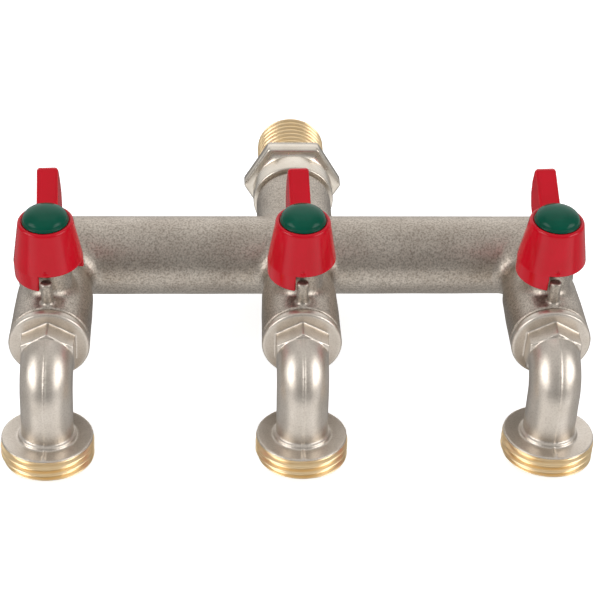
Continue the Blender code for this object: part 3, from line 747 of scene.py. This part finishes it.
def outlet_rings(stations):
    """Loops about the outlet's axis, from (distance below the disc's top, radius) stations."""
    lean_sin, lean_cos = math.sin(OUTLET_LEAN), math.cos(OUTLET_LEAN)
    top = (0, OUTLET_DEPTH, OUTLET_HEIGHT)
    return rings(stations, top, (0, -lean_sin, -lean_cos), (1, 0, 0), (0, -lean_cos, lean_sin))


def outlet_thread():
    """Bare brass rim of the outlet: male hose thread outside, and the end face that seals."""
    first, last = DISC_EDGE, OUTLET_LENGTH
    root = OUTLET_THREAD_R - THREAD_DEPTH
    seat = last - 0.45
    stations = [(first, root - 0.15), (first, root)]
    stations += thread(OUTLET_THREAD_R, first + 0.05, last - 0.05, OUTLET_CREST)
    stations += [(last, root - 0.2), (last, OUTLET_SOCKET_R + 0.3), (last - 0.3, OUTLET_SOCKET_R)]
    stations += [(seat, OUTLET_SOCKET_R), (seat, root - 0.15)]
    return stations


def swing(points, side):
    """Turn an elbow's points about the barrel's axis to where that elbow was screwed home."""
    swing_sin, swing_cos = math.sin(ELBOW_SWING[side]), math.cos(ELBOW_SWING[side])
    turn = np.array(((swing_cos, 0, swing_sin), (0, 1, 0), (-swing_sin, 0, swing_cos)))
    return points @ turn.T


def inlet_rings(stations):
    return rings(stations, (0, 0, 0), (0, 1, 0), (1, 0, 0), (0, 0, 1))


def inlet_casting():
    """Tail, round collar and spanner hexagon, with the bore through them."""
    start, end = INLET_COLLAR_START, INLET_COLLAR_END
    point = hexagon(INLET_HEX_AF, 0.99)
    root = INLET_THREAD_R - THREAD_DEPTH
    stations = [(INLET_START, INLET_BORE_R), (INLET_START, INLET_TAIL_R), (start, INLET_TAIL_R)]
    stations += rounded((start, INLET_COLLAR_R - 0.7), (start, INLET_COLLAR_R), (start + 0.7, INLET_COLLAR_R))
    stations += rounded((end - 0.5, INLET_COLLAR_R), (end, INLET_COLLAR_R), (end, INLET_COLLAR_R - 0.5))
    stations += [(end, INLET_GROOVE_R), (INLET_HEX_START, INLET_GROOVE_R)]
    stations += [(INLET_HEX_START, point - 0.9), (INLET_HEX_START + 0.12, point - 0.35)]
    stations += [(INLET_HEX_START + 0.4, point), (INLET_HEX_END - 0.4, point)]
    stations += [(INLET_HEX_END - 0.12, point - 0.35), (INLET_HEX_END, point - 0.9)]
    stations += [(INLET_HEX_END, root + 0.2), (INLET_HEX_END, INLET_BORE_R)]
    return stations


def inlet_thread():
    root = INLET_THREAD_R - THREAD_DEPTH
    stations = [(INLET_HEX_END, INLET_BORE_R), (INLET_HEX_END, root), (INLET_HEX_END + 0.9, root)]
    stations += thread(INLET_THREAD_R, INLET_HEX_END + 1.0, INLET_MOUTH - 0.1, INLET_CREST)
    stations += [(INLET_MOUTH, root - 0.3)]
    stations += [(INLET_MOUTH, INLET_BORE_R + 0.4), (INLET_MOUTH - 0.4, INLET_BORE_R)]
    return stations


def end_plug(outward):
    """Plug with a hexagonal key socket, as loops about the header's axis."""
    radius = PLUG_SEAT_R - GAP
    inner, outer = HEADER_END - PLUG_SEAT_DEPTH + GAP, HEADER_END
    key = hexagon(PLUG_KEY_AF, 1.0)
    stations = [(inner, 0.01), (inner, radius)]
    stations += rounded((outer - 0.6, radius), (outer, radius), (outer, radius - 0.6))
    key_end = outer - PLUG_KEY_DEPTH
    stations += [(outer, key + 0.5), (outer - 0.12, key + 0.15), (outer - 0.4, key)]
    stations += [(key_end, key), (key_end, 0.01)]
    return rings(stations, (0, 0, 0), (outward, 0, 0), (0, 1, 0), (0, 0, 1))


def cap():
    """Domed cap whose head laps over the hub's rim, about the stem."""
    radius, bottom, top = cap_high[0], cap_low[2], cap_high[2]
    roof, inside = bottom + CAP_FLOOR, radius - CAP_WALL
    stations = [(roof, 0.01), (roof, inside), (bottom, inside), (bottom, radius), (CAP_HEAD_BOTTOM, radius)]
    stations += [(CAP_HEAD_BOTTOM, CAP_HEAD_R - 0.15), (CAP_HEAD_BOTTOM + 0.12, CAP_HEAD_R)]
    dome_edge, dome_r = CAP_HEAD_EDGE + 0.12, CAP_HEAD_R - 0.2
    head_edge = (CAP_HEAD_EDGE, CAP_HEAD_R)
    stations += rounded((CAP_HEAD_EDGE - 0.1, CAP_HEAD_R), head_edge, (dome_edge, dome_r), 5)
    for share in np.sin(np.linspace(0.03, 1, 24) * math.pi / 2) ** 2:
        rise = (1 - (1 - share) ** CAP_POWER) ** (1 / CAP_POWER)
        stations.append((dome_edge + (top - dome_edge) * rise, max(dome_r * (1 - share), 0.01)))
    return rings(stations, (0, 0, 0), (0, 0, 1), (1, 0, 0), (0, 1, 0))


# ---------------------------------------------------------------- assembly


def build(finishes):
    """Make every visible piece in place of its CAD node, and let it ride on its body."""
    casting = surface_of(manifold, body_low, body_high, BODY_STEP)
    body = add_piece("manifold_casting", casting, finishes["cast"])
    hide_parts("manifold_body")

    nipple = add_piece("inlet_casting", loops_to_mesh(inlet_rings(inlet_casting())), finishes["turned"])
    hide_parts("inlet_nipple")
    inlet = add_piece("inlet_thread", loops_to_mesh(inlet_rings(inlet_thread())), finishes["thread_brass"])
    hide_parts("inlet_nipple")
    fixed = [body, nipple, inlet]

    for side, outward in (("left", -1), ("right", 1)):
        plug = add_piece(f"{side}_plug", loops_to_mesh(end_plug(outward)), finishes["turned"])
        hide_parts(f"{side}_end_plug")
        fixed.append(plug)

    elbow_low = (-DISC_R, OUTLET_DEPTH - DISC_R - 2.0, OUTLET_HEIGHT - OUTLET_LENGTH - 2.0)
    elbow_high = (DISC_R, TAIL_END, COLLAR_R)
    forging, forging_quads = surface_of(elbow, elbow_low, elbow_high, ELBOW_STEP)
    rim, rim_quads = loops_to_mesh(outlet_rings(outlet_thread()))
    grip = surface_of(handle, handle_low, handle_high, HANDLE_STEP)
    dome = loops_to_mesh(cap())
    for side in SIDES:
        origin = HEADER_AXIS + (STEMS[side][0], 0, 0)
        bend_mesh, rim_mesh = (swing(forging, side), forging_quads), (swing(rim, side), rim_quads)
        bend = add_piece(f"{side}_elbow_forging", bend_mesh, finishes["forged"], origin)
        hose_thread = add_piece(f"{side}_hose_thread", rim_mesh, finishes["thread_brass"], origin)
        for piece, slot in ((bend, "nickel"), (hose_thread, "thread_brass")):
            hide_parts(f"{side}_outlet_elbow")
            fixed.append(piece)
        lever = add_piece(f"{side}_lever_handle", grip, finishes["red_enamel"], STEMS[side])
        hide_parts(f"{side}_handle")
        button = add_piece(f"{side}_cap", dome, finishes["green_plastic"], STEMS[side])
        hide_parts(f"{side}_handle_cap")
        for piece in (lever, button):
            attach(piece, f"{side}_handle_assembly")
    for piece in fixed:
        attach(piece, "root")


def finish_cad_nodes(finishes):
    """Give each CAD node that still shows the procedural material of its slot."""
    for part in frame["record"]["subparts"]:
        node = frame["nodes"][part["node"]]
        slot = part["material_slot"]
        finish = finishes["turned" if slot == "nickel" else slot]
        node.data.materials.clear()
        node.data.materials.append(finish.material)


add_camera()
add_studio()
all_finishes = make_finishes()
build(all_finishes)
finish_cad_nodes(all_finishes)
